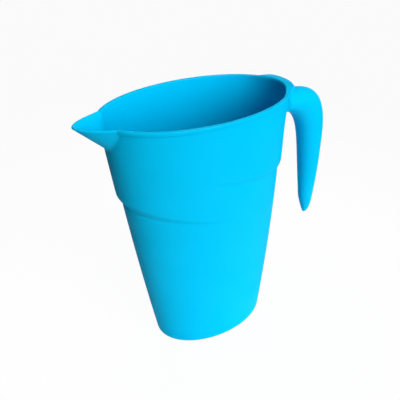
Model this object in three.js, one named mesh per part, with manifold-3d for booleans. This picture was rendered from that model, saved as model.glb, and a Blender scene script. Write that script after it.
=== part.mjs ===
// Oval jug of one-colour moulded plastic, with a pouring spout and a free-ended hook handle.
// The lower wall is set in by a step, deep at both ends and shallow on the flanks.
// The step runs round as two slanted ledges that overlap.
// Millimetres, +Z up. The origin lies on the table, at the centre of the base oval.
// +X points to the handle and -X to the spout, and the jug is symmetric about the XZ plane.

import * as THREE from 'three';
import { mergeVertices } from 'three/addons/utils/BufferGeometryUtils.js';
import Module from 'manifold-3d';

const wasm = await Module();
wasm.setup();

// Whole jug
const HEIGHT = 230;
const WALL = 2;
const SPLIT_GAP = 0.3;

// Rim oval, measured over the lip; its centre is shifted towards the spout
const RIM_LENGTH = 155.8;
const RIM_WIDTH = 91.6;
const RIM_SHIFT = -12.5;
const LIP_PROUD = 1.2;
const LIP_HEIGHT = 3.2;
const LIP_ROUND = 0.6;

// Base oval, where the lower wall would meet the table
const BASE_LENGTH = 107;
const BASE_WIDTH = 67;
const BASE_ROUND = 7;
const FLOOR = 2.4;
const FLOOR_ROUND = 3;
const TRAY_HEIGHT = 12;

// Lap joints: the inner half of one edge rises into a rebate of the next piece
const TRAY_LAP = 3;
const LIP_LAP = 1.5;

// Outward bow of the walls at half height
const SPOUT_CROWN = 1.9;
const HANDLE_CROWN = 3.9;
const SIDE_CROWN = 0.4;

// Slanted ledges: their heights over the origin, their fall per millimetre towards the handle,
// and the stretch of the flank over which the spout's ledge hands over to the handle's
const END_STEP = 3.1;
const FLANK_STEP = 0.6;
const SPOUT_LEDGE_Z = 139;
const HANDLE_LEDGE_Z = 175;
const LEDGE_FALL = 0.232;
const END_LEDGE_RISE = 8;
const FLANK_LEDGE_RISE = 4.4;
const LEDGE_SHOULDER = 2.6;
const LEDGE_GROOVE = 0.8;
const HANDOVER_START_X = -38;
const HANDOVER_END_X = 8;

// Spout: a trough with a parabolic mouth, whose keel runs back to the wall
const SPOUT_REACH = 17.7;
const SPOUT_DEPTH = 19.8;
const SPOUT_RISE = 0.4;
const SPOUT_TIP_RADIUS = 7.2;
const SPOUT_WALL = 2.2;
const SPOUT_LAP = 19;

// Saddle: the handle's root on the wall, with a thumb tab over it that is flush with the rim
const SADDLE_REACH = 11.6;
const TAB_REACH = 6.2;
const TAB_WIDTH = 33;
const TAB_NOSE = 6;
const TAB_FLARE = 8;
const TAB_FLARE_RUN = 10.8;
const TAB_FLARE_HOLLOW = 6.6;
const BRACKET_DEPTH = 18;
const BRACKET_FOOT_REACH = 0.2;
const BRACKET_FOOT_WIDTH = 20;

// Tenon of the saddle, which fills a socket in the grip
const TENON_LENGTH = 10;
const TENON_WIDTH = 12;
const TENON_HEIGHT = 9;

// Handle: a hook that leaves the wall below the rim and hangs clear of the body.
// Its top runs level before the shoulder turns down, and so does the arch under it.
const HANDLE_REACH = 50.8;
const HANDLE_LENGTH = 143.3;
const HANDLE_TOP_DROP = 7.8;
const ROOT_DEPTH = 19.7;
const ROOT_WIDTH = 26;
const ROOT_FLARE = 4;
const SHOULDER_DROP = 56;
const SHOULDER_LEVEL = 27.2;
const SHOULDER_PULL = 58.5;
const ARCH_DROP = 43;
const ARCH_LEVEL = 23.6;
const ARCH_TUCK = 3.9;
const ARCH_PULL = 19.5;
const GRIP_THICKNESS = 22.1;
const GRIP_WIDTH = 20;
const GRIP_LEAN = 0.2;
const GRIP_BOW = 1.7;
const TIP_THICKNESS = 14.3;
const TIP_LENGTH = 19.8;
const TIP_SET_BACK = 6.6;
const TIP_ROUND = 6.1;

// Facets
const OVAL_FACETS = 72;
const SPOUT_FACETS = 24;
const HANDLE_FACETS = 24;
const HANDLE_STEPS = 8;
const ROUND_FACETS = 4;

// Derived places
const WALL_TOP = HEIGHT - LIP_HEIGHT;
const RIM_HANDLE_X = RIM_SHIFT + RIM_LENGTH / 2;
const RIM_SPOUT_X = RIM_SHIFT - RIM_LENGTH / 2;
const OPEN_ABOVE = HEIGHT + 2 * SPOUT_RISE + WALL;
const TAB_END_X = RIM_HANDLE_X + TAB_REACH;
const SADDLE_FACE_X = RIM_HANDLE_X + SADDLE_REACH;

const { lerp, smoothstep } = THREE.MathUtils;

// Glossy coloured plastic, the same on every piece
const PLASTIC = { color: 0x00b4ee, roughness: 0.32, metalness: 0 };

// Closed body through a stack of equal-count rings, each counter-clockwise seen from the last one.
// The end caps are fans, flat unless a point is given for the last one to rise to.
function loft(rings, apex = null) {
  const count = rings[0].length;
  const positions = rings.flat().flatMap((p) => [p.x, p.y, p.z]);
  const index = [];
  for (let r = 0; r + 1 < rings.length; r += 1) {
    for (let i = 0; i < count; i += 1) {
      const a = r * count + i;
      const b = r * count + ((i + 1) % count);
      index.push(a, b, b + count, a, b + count, a + count);
    }
  }
  const middleOf = (ring) => ring.reduce((sum, p) => sum.add(p), new THREE.Vector3()).divideScalar(count);
  const capRing = (start, point, facesBack) => {
    const hub = positions.length / 3;
    positions.push(point.x, point.y, point.z);
    for (let i = 0; i < count; i += 1) {
      const a = start + i;
      const b = start + ((i + 1) % count);
      index.push(...(facesBack ? [hub, b, a] : [hub, a, b]));
    }
  };
  capRing(0, middleOf(rings[0]), true);
  capRing((rings.length - 1) * count, apex ?? middleOf(rings.at(-1)), false);
  const geometry = new THREE.BufferGeometry();
  geometry.setAttribute('position', new THREE.Float32BufferAttribute(positions, 3));
  geometry.setIndex(index);
  return geometry;
}

// Solid of a closed geometry, for joining and cutting.
function toSolid(geometry) {
  const bare = geometry.clone();
  bare.deleteAttribute('normal');
  bare.deleteAttribute('uv');
  const merged = mergeVertices(bare, 1e-5);
  return new wasm.Manifold(new wasm.Mesh({
    numProp: 3,
    vertProperties: new Float32Array(merged.attributes.position.array),
    triVerts: new Uint32Array(merged.index.array),
  }));
}

// Named mesh of a finished solid.
function toMesh(name, solid) {
  const { vertProperties, triVerts } = solid.getMesh();
  const geometry = new THREE.BufferGeometry();
  geometry.setAttribute('position', new THREE.BufferAttribute(vertProperties, 3));
  geometry.setIndex(new THREE.BufferAttribute(triVerts, 1));
  geometry.computeVertexNormals();
  const mesh = new THREE.Mesh(geometry, new THREE.MeshStandardMaterial(PLASTIC));
  mesh.name = name;
  return mesh;
}

// Point of the wall at an angle and height. The step's share is 0 on the upper wall's face and 1 on
// the lower wall's, and the inset then goes inwards by the same distance all round.
function wallPoint(angle, z, share, inset) {
  const k = z / HEIGHT;
  const bow = 4 * k * (1 - k);
  const spoutX = lerp(-BASE_LENGTH / 2 - END_STEP, RIM_SPOUT_X + LIP_PROUD, k) - SPOUT_CROWN * bow;
  const handleX = lerp(BASE_LENGTH / 2 + END_STEP, RIM_HANDLE_X - LIP_PROUD, k) + HANDLE_CROWN * bow;
  const halfWidth = lerp(BASE_WIDTH / 2 + FLANK_STEP, RIM_WIDTH / 2 - LIP_PROUD, k) + SIDE_CROWN * bow;
  const reachX = (handleX - spoutX) / 2 - END_STEP * share - inset;
  const reachY = halfWidth - FLANK_STEP * share - inset;
  return new THREE.Vector3(
    (spoutX + handleX) / 2 + reachX * Math.cos(angle),
    reachY * Math.sin(angle),
    z,
  );
}

// Height at which a slanted ledge passes an angle of the wall.
function ledgeHeight(angle, level) {
  let z = level;
  for (let pass = 0; pass < 3; pass += 1) {
    z = level - LEDGE_FALL * wallPoint(angle, z, 1, 0).x;
  }
  return z;
}

// Wall profile at an angle, from foot to top, as rows of height, step share and inset.
// A ledge rises less where the step is shallow, and its groove is deepest where its share is full.
function wallProfile(angle, groove, inset) {
  const low = ledgeHeight(angle, SPOUT_LEDGE_Z);
  const high = ledgeHeight(angle, HANDLE_LEDGE_Z);
  const rise = lerp(FLANK_LEDGE_RISE, END_LEDGE_RISE, Math.cos(angle) ** 2);
  const handleShare = smoothstep(wallPoint(angle, low, 1, 0).x, HANDOVER_START_X, HANDOVER_END_X);
  const grooveShare = groove / END_STEP;
  const lowerWall = [0, 1 / 4, 1 / 2, 3 / 4].map((k) => [lerp(TRAY_HEIGHT, low, k), 1, inset]);
  const upperWall = [0, 1 / 3, 2 / 3, 1].map((k) => [lerp(high + rise, WALL_TOP, k), 0, inset]);
  return [
    ...lowerWall,
    [low - LEDGE_SHOULDER, 1, inset],
    [low, 1 + grooveShare * (1 - handleShare), inset],
    [low + rise, handleShare, inset],
    [high - LEDGE_SHOULDER, handleShare, inset],
    [high, handleShare + grooveShare * handleShare, inset],
    ...upperWall,
  ];
}

const ovalAngles = Array.from({ length: OVAL_FACETS }, (_, i) => (i * 2 * Math.PI) / OVAL_FACETS);

// Oval rings from a profile of height, step share and inset that may differ from angle to angle.
function ovalRings(profileAt) {
  const profiles = ovalAngles.map((angle) => profileAt(angle));
  return profiles[0].map((_, row) => ovalAngles.map((angle, i) => wallPoint(angle, ...profiles[i][row])));
}

const ovalSolid = (profileAt) => toSolid(loft(ovalRings(profileAt)));

// Wall body, grown outwards by a clearance.
const wallBody = (clearance) => ovalSolid((angle) => wallProfile(angle, LEDGE_GROOVE, -clearance));

// Space inside the wall, from below the wall's foot to above the spout.
function cavitySolid() {
  return ovalSolid((angle) => [
    [0, 1, WALL],
    ...wallProfile(angle, 0, WALL),
    [OPEN_ABOVE, 0, WALL],
  ]);
}

// Lip round the rim, grown outwards by a clearance.
function lipBody(clearance) {
  const proud = -LIP_PROUD - clearance;
  return ovalSolid(() => [
    [WALL_TOP + SPLIT_GAP - clearance, 0, proud + LIP_ROUND],
    [WALL_TOP + SPLIT_GAP + LIP_ROUND, 0, proud],
    [HEIGHT - LIP_ROUND, 0, proud],
    [HEIGHT + clearance, 0, proud + LIP_ROUND],
  ]);
}

// Oval post whose face lies at a constant inset from the upper or the lower wall's face.
const ovalPost = (bottom, top, share, inset) => ovalSolid(() => [[bottom, share, inset], [top, share, inset]]);

// Insets of the two faces of a lap joint that splits the wall's thickness in halves.
const LAP_INNER = (WALL + SPLIT_GAP) / 2;
const LAP_OUTER = (WALL - SPLIT_GAP) / 2;

// Tray that closes the bottom: a flat floor with a rounded edge, and a short wall with its lap.
function traySolid() {
  const quarter = Array.from({ length: ROUND_FACETS + 1 }, (_, i) => (i * Math.PI) / (2 * ROUND_FACETS));
  const corner = (radius, bottom, inset) => quarter.map((turn) => [
    bottom + radius * (1 - Math.cos(turn)),
    1,
    inset + radius * (1 - Math.sin(turn)),
  ]);
  const outside = ovalSolid(() => [
    ...corner(BASE_ROUND, 0, 0),
    [TRAY_HEIGHT - SPLIT_GAP, 1, 0],
  ]);
  const lap = ovalPost(FLOOR, TRAY_HEIGHT + TRAY_LAP - SPLIT_GAP, 1, LAP_INNER);
  const inside = ovalSolid(() => [
    ...corner(FLOOR_ROUND, FLOOR, WALL),
    [TRAY_HEIGHT + 2 * TRAY_LAP, 1, WALL],
  ]);
  return outside.add(lap).subtract(inside);
}

// Wall shell: rebated at its foot for the tray's lap, and with a lap of its own at the top.
function wallSolid(cavity) {
  const footRebate = ovalPost(TRAY_HEIGHT - TRAY_LAP, TRAY_HEIGHT + TRAY_LAP, 1, LAP_OUTER);
  const topLap = ovalPost(WALL_TOP - LIP_LAP, WALL_TOP + LIP_LAP, 0, LAP_INNER);
  return wallBody(0).subtract(footRebate).add(topLap).subtract(cavity);
}

// Rim lip, rebated from below for the wall's lap.
function lipSolid(cavity) {
  const rebate = ovalPost(WALL_TOP - LIP_LAP, WALL_TOP + LIP_LAP + SPLIT_GAP, 0, LAP_OUTER);
  return lipBody(0).subtract(rebate).subtract(cavity);
}

// Spout prism: a parabola in plan that slides down along the keel.
// The prism's face moves out by a clearance, and its ends lie at the given drops below the tip.
function spoutPrism(clearance, topDrop, bottomDrop) {
  const tip = new THREE.Vector3(RIM_SPOUT_X - SPOUT_REACH, 0, HEIGHT + SPOUT_RISE);
  const keelFoot = wallPoint(Math.PI, HEIGHT - SPOUT_DEPTH, 0, 0);
  const keelRun = (keelFoot.x - tip.x) / (tip.z - keelFoot.z);
  const length = SPOUT_REACH + SPOUT_LAP;
  const halfSpan = Math.sqrt(2 * SPOUT_TIP_RADIUS * length);
  const ringAt = (drop) => Array.from({ length: SPOUT_FACETS + 1 }, (_, i) => {
    const y = halfSpan * (1 - (2 * i) / SPOUT_FACETS);
    const run = (y * y) / (2 * SPOUT_TIP_RADIUS);
    const slant = Math.hypot(SPOUT_TIP_RADIUS, y);
    const fall = SPOUT_RISE * Math.min(run / SPOUT_REACH, 1);
    return new THREE.Vector3(
      tip.x + run + keelRun * (drop + fall) - (clearance * SPOUT_TIP_RADIUS) / slant,
      y + (clearance * y) / slant,
      tip.z - drop - fall,
    );
  });
  return toSolid(loft([ringAt(bottomDrop), ringAt(topDrop)]));
}

// Spout trough, which ends flush with the inner face of the wall.
function spoutSolid(cavity) {
  const bottomDrop = SPOUT_DEPTH + SPOUT_RISE + 2 * SPOUT_WALL;
  const outside = spoutPrism(0, 0, bottomDrop);
  const channel = spoutPrism(-SPOUT_WALL, -SPOUT_WALL, bottomDrop + SPOUT_WALL);
  return outside.subtract(channel).subtract(cavity);
}

// Side outline of the handle at Y = 0: matching points of its outer and inner edges, root to tip.
function handleOutline() {
  const rootX = RIM_HANDLE_X - LIP_PROUD;
  const topZ = HEIGHT - HANDLE_TOP_DROP;
  const underZ = topZ - ROOT_DEPTH;
  const outerX = rootX + HANDLE_REACH;
  const endX = outerX + GRIP_LEAN;
  const tip = new THREE.Vector2(endX - TIP_SET_BACK, HEIGHT - HANDLE_LENGTH);
  const shoulder = new THREE.Vector2(outerX, topZ - SHOULDER_DROP);
  const arch = new THREE.Vector2(outerX - GRIP_THICKNESS, underZ - ARCH_DROP);
  const outerEnd = new THREE.Vector2(endX, tip.y + TIP_LENGTH);
  const innerEnd = new THREE.Vector2(endX - TIP_THICKNESS, tip.y + TIP_LENGTH);
  const outer = [
    new THREE.CubicBezierCurve(
      new THREE.Vector2(rootX, topZ),
      new THREE.Vector2(rootX + SHOULDER_LEVEL, topZ),
      new THREE.Vector2(outerX, shoulder.y + SHOULDER_PULL),
      shoulder,
    ),
    new THREE.QuadraticBezierCurve(
      shoulder,
      shoulder.clone().lerp(outerEnd, 1 / 2).add(new THREE.Vector2(GRIP_BOW, 0)),
      outerEnd,
    ),
    new THREE.QuadraticBezierCurve(outerEnd, new THREE.Vector2(endX, tip.y), tip),
  ];
  const inner = [
    new THREE.CubicBezierCurve(
      new THREE.Vector2(rootX, underZ),
      new THREE.Vector2(rootX + ARCH_LEVEL, underZ),
      new THREE.Vector2(arch.x - ARCH_TUCK, arch.y + ARCH_PULL),
      arch,
    ),
    new THREE.LineCurve(arch, innerEnd),
    new THREE.QuadraticBezierCurve(innerEnd, new THREE.Vector2(innerEnd.x + TIP_ROUND, tip.y), tip),
  ];
  const stations = [];
  outer.forEach((curve, part) => {
    for (let i = part === 0 ? 0 : 1; i <= HANDLE_STEPS; i += 1) {
      const k = i / HANDLE_STEPS;
      stations.push({ part, k, outer: curve.getPoint(k), inner: inner[part].getPoint(k) });
    }
  });
  return stations;
}

// Handle bar: elliptical sections on the side outline, flared where it enters the wall.
function handleSolid() {
  const stations = handleOutline();
  const section = (outer, inner, halfWidth) => Array.from({ length: HANDLE_FACETS }, (_, i) => {
    const turn = (i * 2 * Math.PI) / HANDLE_FACETS;
    const k = (1 + Math.cos(turn)) / 2;
    return new THREE.Vector3(
      lerp(inner.x, outer.x, k),
      -halfWidth * Math.sin(turn),
      lerp(inner.y, outer.y, k),
    );
  });
  const gripThickness = stations[HANDLE_STEPS].outer.distanceTo(stations[HANDLE_STEPS].inner);
  const halfWidthAt = ({ part, k, outer, inner }) => {
    if (part === 0) {
      return lerp(ROOT_WIDTH, GRIP_WIDTH, k) / 2;
    }
    return (GRIP_WIDTH / 2) * (outer.distanceTo(inner) / gripThickness);
  };
  const rings = stations.slice(0, -1).map((s) => section(s.outer, s.inner, halfWidthAt(s)));
  const { outer, inner } = stations[0];
  const buried = new THREE.Vector2(-2 * (ROOT_FLARE + WALL), 0);
  const root = section(outer.clone().add(buried), inner.clone().add(buried), ROOT_WIDTH / 2 + ROOT_FLARE);
  const tip = stations.at(-1).outer;
  return toSolid(loft([root, ...rings], new THREE.Vector3(tip.x, 0, tip.y)));
}

// Half-space on one side of a plane across X, as a box big enough for the handle.
function pastPlane(x, side) {
  const size = 4 * HEIGHT;
  const box = new THREE.BoxGeometry(size, size, size);
  box.translate(x + (side * size) / 2, 0, 0);
  return toSolid(box);
}

// Thumb tab: a tongue in plan, as thick as the lip, with hollow flares where it leaves the rim.
// Its bracket draws in below it, down to the handle's root.
function tabSolid() {
  const half = TAB_WIDTH / 2;
  const flareX = RIM_HANDLE_X - TAB_FLARE_RUN;
  const buriedX = flareX - TAB_FLARE;
  const addNose = (shape) => {
    shape.lineTo(RIM_HANDLE_X, -half);
    shape.quadraticCurveTo(TAB_END_X, -half, TAB_END_X, -TAB_NOSE / 2);
    shape.lineTo(TAB_END_X, TAB_NOSE / 2);
    shape.quadraticCurveTo(TAB_END_X, half, RIM_HANDLE_X, half);
  };
  const plate = new THREE.Shape();
  plate.moveTo(buriedX, -half - TAB_FLARE);
  plate.lineTo(flareX, -half - TAB_FLARE);
  plate.quadraticCurveTo(RIM_HANDLE_X - TAB_FLARE_HOLLOW, -half, RIM_HANDLE_X, -half);
  addNose(plate);
  plate.quadraticCurveTo(RIM_HANDLE_X - TAB_FLARE_HOLLOW, half, flareX, half + TAB_FLARE);
  plate.lineTo(buriedX, half + TAB_FLARE);
  const tongue = new THREE.Shape();
  tongue.moveTo(flareX, -half);
  addNose(tongue);
  tongue.lineTo(flareX, half);
  const ringAt = (shape, place) => shape.getPoints(2 * ROUND_FACETS).map(place);
  const platePoints = (z) => ringAt(plate, (p) => new THREE.Vector3(p.x, p.y, z));
  const bracketTop = ringAt(tongue, (p) => new THREE.Vector3(p.x, p.y, HEIGHT - LIP_HEIGHT / 2));
  const bracketFoot = ringAt(tongue, (p) => new THREE.Vector3(
    flareX + ((p.x - flareX) * (TAB_FLARE_RUN + BRACKET_FOOT_REACH)) / (TAB_FLARE_RUN + TAB_REACH),
    (p.y * BRACKET_FOOT_WIDTH) / TAB_WIDTH,
    HEIGHT - BRACKET_DEPTH,
  ));
  const tab = toSolid(loft([platePoints(WALL_TOP + SPLIT_GAP), platePoints(HEIGHT)]));
  return tab.add(toSolid(loft([bracketFoot, bracketTop])));
}

// Tenon between saddle and grip, grown by a clearance; it starts inside the saddle.
function tenonSolid(clearance) {
  const box = new THREE.BoxGeometry(
    2 * (TENON_LENGTH + clearance),
    TENON_WIDTH + 2 * clearance,
    TENON_HEIGHT + 2 * clearance,
  );
  box.translate(SADDLE_FACE_X, 0, HEIGHT - HANDLE_TOP_DROP - ROOT_DEPTH / 2);
  return toSolid(box);
}

const cavity = cavitySolid();
const spoutNotch = spoutPrism(SPLIT_GAP, -SPOUT_WALL, SPOUT_DEPTH + SPOUT_RISE + 2 * SPOUT_WALL);
const handle = handleSolid();
const saddle = handle
  .intersect(pastPlane(SADDLE_FACE_X, -1))
  .add(tabSolid())
  .add(tenonSolid(0))
  .subtract(wallBody(SPLIT_GAP))
  .subtract(lipBody(SPLIT_GAP));
const grip = handle
  .intersect(pastPlane(SADDLE_FACE_X + SPLIT_GAP, 1))
  .subtract(tenonSolid(SPLIT_GAP));

const jug = new THREE.Group();
jug.add(
  toMesh('base_tray', traySolid()),
  toMesh('body_wall', wallSolid(cavity).subtract(spoutNotch)),
  toMesh('rim_lip', lipSolid(cavity).subtract(spoutNotch)),
  toMesh('pouring_spout', spoutSolid(cavity)),
  toMesh('handle_saddle', saddle),
  toMesh('handle_grip', grip),
);

export default jug;
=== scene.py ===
"""Looks of a blue moulded jug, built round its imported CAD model.

Metres, +Z up. The origin lies on the table under the base oval, the handle points along +X
and the spout along -X. Every piece takes its shape from the same rules as the solid it replaces.
"""

import logging
import math
from dataclasses import dataclass
from enum import Enum
from typing import ClassVar

import bpy
import numpy as np
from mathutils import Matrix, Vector


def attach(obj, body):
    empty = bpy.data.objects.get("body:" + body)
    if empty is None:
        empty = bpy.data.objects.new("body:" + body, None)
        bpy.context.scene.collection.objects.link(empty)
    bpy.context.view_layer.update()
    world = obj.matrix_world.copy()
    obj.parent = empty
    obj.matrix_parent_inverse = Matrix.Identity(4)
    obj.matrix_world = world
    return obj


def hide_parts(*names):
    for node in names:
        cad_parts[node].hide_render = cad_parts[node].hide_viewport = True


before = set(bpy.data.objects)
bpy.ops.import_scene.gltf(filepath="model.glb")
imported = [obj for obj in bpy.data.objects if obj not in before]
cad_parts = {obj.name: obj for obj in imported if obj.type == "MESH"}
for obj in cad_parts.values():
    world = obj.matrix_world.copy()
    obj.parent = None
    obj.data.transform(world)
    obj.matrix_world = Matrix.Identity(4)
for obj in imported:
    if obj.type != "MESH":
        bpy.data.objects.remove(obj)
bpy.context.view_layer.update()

BODY = "root"
MM = 0.001
TURN = 2 * math.pi
QUARTER = math.pi / 2
WHITE = (1.0, 1.0, 1.0, 1.0)

# Sockets of a Mix node that mixes colours; their names repeat, so they go by number
MIX_SHARE = 0
MIX_FIRST = 6
MIX_SECOND = 7
MIX_COLOUR = 2
# Points that round to the same step, of this many in a metre, are one corner
CORNER_STEPS = 1e7
# Cross products shorter than these, in square metres, belong to faces without an area
NO_AREA = 1e-12
FLAT_ROW = 1e-11
FLAT_FACE = 1e-14

LOG = logging.getLogger("jug")


class Side(Enum):
    """The two ends of the jug."""

    SPOUT = "spout"
    HANDLE = "handle"


def soft_ramp(t: np.ndarray, radius: np.ndarray | float) -> np.ndarray:
    """Gives 0 before t = 0 and t after it, with the corner rounded.

    Args:
        t: Distance past the corner.
        radius: Reach of the rounding on either side of the corner.

    Returns:
        The rounded ramp, in the shape of t.
    """
    rounded = (np.clip(t, -radius, radius) + radius) ** 2 / (4 * radius)
    return np.where(t > radius, t, rounded)


def smoothstep(t: np.ndarray) -> np.ndarray:
    """Eases from 0 to 1 as t goes from 0 to 1."""
    k = np.clip(t, 0, 1)
    return k * k * (3 - 2 * k)


def bend(start: np.ndarray, corner: np.ndarray, end: np.ndarray, k: float) -> np.ndarray:
    """Points at k on curves that leave their start towards a corner and reach their end from it."""
    return start * (1 - k) ** 2 + corner * 2 * k * (1 - k) + end * k ** 2


def bezier(controls: list[tuple[float, float]], k: np.ndarray) -> np.ndarray:
    """Points of a Bezier curve in a plane.

    Args:
        controls: Control points, two for a line, three or four for a curve.
        k: Places along the curve, from 0 to 1.

    Returns:
        One point per place.
    """
    level = [np.outer(np.ones_like(k), np.array(c, float)) for c in controls]
    while len(level) > 1:
        level = [a + (b - a) * k[:, None] for a, b in zip(level, level[1:])]
    return level[0]


def spread(ends: list[np.ndarray], counts: tuple[int, ...]) -> np.ndarray:
    """Rows between given ends, evenly spaced in each stretch.

    Args:
        ends: Ends of the stretches, as arrays of one shape.
        counts: Steps in each stretch.

    Returns:
        The rows, with the first end first.
    """
    rows = [ends[0]]
    for low, high, count in zip(ends, ends[1:], counts):
        rows.extend(low + (high - low) * (i + 1) / count for i in range(count))
    return np.array(rows)


def direction(azimuth: float, elevation: float) -> Vector:
    """Unit vector towards an azimuth, from +X, and an elevation, both in degrees."""
    a, e = math.radians(azimuth), math.radians(elevation)
    return Vector((math.cos(a) * math.cos(e), math.sin(a) * math.cos(e), math.sin(e)))


def add_object(name: str, data: bpy.types.ID) -> bpy.types.Object:
    """Adds an object to the scene, at the origin.

    Args:
        name: Name of the object.
        data: Mesh, lamp or camera that it holds.

    Returns:
        The new object.
    """
    item = bpy.data.objects.new(name, data)
    bpy.context.scene.collection.objects.link(item)
    return item


def empty_tree(owner: bpy.types.Material | bpy.types.World) -> bpy.types.NodeTree:
    """Gives a material or a world an empty node tree.

    Args:
        owner: Material or world.

    Returns:
        Its tree.
    """
    owner.use_nodes = True
    owner.node_tree.nodes.clear()
    return owner.node_tree


def add_node(tree: bpy.types.NodeTree, kind: str, settings: dict | None = None,
             inputs: dict | None = None) -> bpy.types.Node:
    """Adds a node with its settings, values and links.

    Args:
        tree: Node tree that gets the node.
        kind: Blender's identifier of the node.
        settings: Attributes of the node, by name.
        inputs: Values or output sockets for its inputs, by name or number.

    Returns:
        The new node.
    """
    node = tree.nodes.new(kind)
    for name, value in (settings or {}).items():
        setattr(node, name, value)
    for name, value in (inputs or {}).items():
        if isinstance(value, bpy.types.NodeSocket):
            tree.links.new(value, node.inputs[name])
        else:
            node.inputs[name].default_value = value
    return node


def linear(hex_colour: str) -> tuple[float, float, float, float]:
    """Turns an sRGB colour into linear light, by the formula of the sRGB standard.

    Args:
        hex_colour: Colour as #RRGGBB.

    Returns:
        Red, green, blue and alpha.
    """
    parts = [int(hex_colour[i:i + 2], 16) / 255 for i in (1, 3, 5)]
    steps = [p / 12.92 if p <= 0.04045 else ((p + 0.055) / 1.055) ** 2.4 for p in parts]
    return (*steps, 1.0)


class Skin:
    """Faces that share their corners, with a shading normal of their own at each corner."""

    def __init__(self) -> None:
        """Starts with no faces."""
        self._index: dict[tuple[int, ...], int] = {}
        self._points: list[np.ndarray] = []
        self._faces: list[list[int]] = []
        self._normals: list[np.ndarray] = []

    def _corner(self, point: np.ndarray) -> int:
        """Finds or adds the corner that all faces meeting at a point share.

        Args:
            point: Place of the corner.

        Returns:
            Index of the corner.
        """
        key = tuple(int(round(c * CORNER_STEPS)) for c in point)
        if key not in self._index:
            self._index[key] = len(self._points)
            self._points.append(point)
        return self._index[key]

    def _face(self, points: list[np.ndarray], normals: list[np.ndarray]) -> None:
        """Adds a face, without the corners that fall together.

        Args:
            points: Corners of the face, in order.
            normals: Shading normal at each corner.
        """
        corners: list[int] = []
        kept: list[np.ndarray] = []
        for point, normal in zip(points, normals):
            corner = self._corner(point)
            if corner not in corners:
                corners.append(corner)
                kept.append(normal)
        if len(corners) > 2:
            self._faces.append(corners)
            self._normals.extend(kept)

    def _flat(self, points: list[np.ndarray]) -> None:
        """Adds a face with its own normal at every corner.

        Args:
            points: Three or four corners of the face, in order.
        """
        normal = np.cross(points[1] - points[0], points[-1] - points[0])
        if len(points) == 4:
            normal = np.cross(points[2] - points[0], points[3] - points[1])
        length = np.linalg.norm(normal)
        unit = normal / length if length > FLAT_FACE else np.array([0.0, 0.0, 1.0])
        self._face(points, [unit] * len(points))

    def grid(self, points: np.ndarray, wrap: bool = False, flip: bool = False,
             margin: tuple[int, int] = (0, 0)) -> None:
        """Adds a grid of quads that faces along (columns x rows).

        Args:
            points: Rows by columns by 3.
            wrap: Whether the last column meets the first.
            flip: Whether the faces look the other way.
            margin: Rows at the start and end that only steer the normals of their neighbours.
        """
        along = np.gradient(points, axis=0)
        if wrap:
            across = np.roll(points, -1, axis=1) - np.roll(points, 1, axis=1)
        else:
            across = np.gradient(points, axis=1)
        normals = np.cross(across, along)
        lengths = np.linalg.norm(normals, axis=2, keepdims=True)
        normals = normals / np.maximum(lengths, NO_AREA)
        flat = lengths[:, :, 0].max(axis=1) < FLAT_ROW
        for row in np.flatnonzero(flat):
            normals[row] = normals[row + 1 if row == 0 else row - 1].mean(axis=0)
        if flip:
            normals = -normals
        columns = points.shape[1]
        for i in range(margin[0], len(points) - 1 - margin[1]):
            for j in range(columns if wrap else columns - 1):
                n = (j + 1) % columns
                quad = [(i, j), (i, n), (i + 1, n), (i + 1, j)]
                if flip:
                    quad.reverse()
                self._face([points[q] for q in quad], [normals[q] for q in quad])

    def strip(self, first: np.ndarray, second: np.ndarray, wrap: bool = False,
              flip: bool = False) -> None:
        """Adds one row of flat quads between two edges.

        Args:
            first: Points of one edge.
            second: Points of the other edge, as many.
            wrap: Whether the last column meets the first.
            flip: Whether the faces look the other way.
        """
        columns = len(first)
        for j in range(columns if wrap else columns - 1):
            n = (j + 1) % columns
            quad = [first[j], first[n], second[n], second[j]]
            if flip:
                quad.reverse()
            self._flat(quad)

    def cap(self, ring: np.ndarray, flip: bool = False) -> None:
        """Closes a ring with a flat fan round its middle.

        Args:
            ring: Points of the ring.
            flip: Whether the faces look the other way.
        """
        middle = ring.mean(axis=0)
        for j in range(len(ring)):
            fan = [ring[j], ring[(j + 1) % len(ring)], middle]
            if flip:
                fan.reverse()
            self._flat(fan)

    def piece(self, name: str) -> bpy.types.Object:
        """Makes the object of the faces so far.

        Args:
            name: Name of the object and its mesh.

        Returns:
            The object, at the origin, smooth shaded.
        """
        mesh = bpy.data.meshes.new(name)
        mesh.from_pydata([tuple(p) for p in self._points], [], self._faces)
        mesh.shade_smooth()
        mesh.normals_split_custom_set([tuple(n) for n in self._normals])
        mesh.update()
        return add_object(name, mesh)


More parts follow.
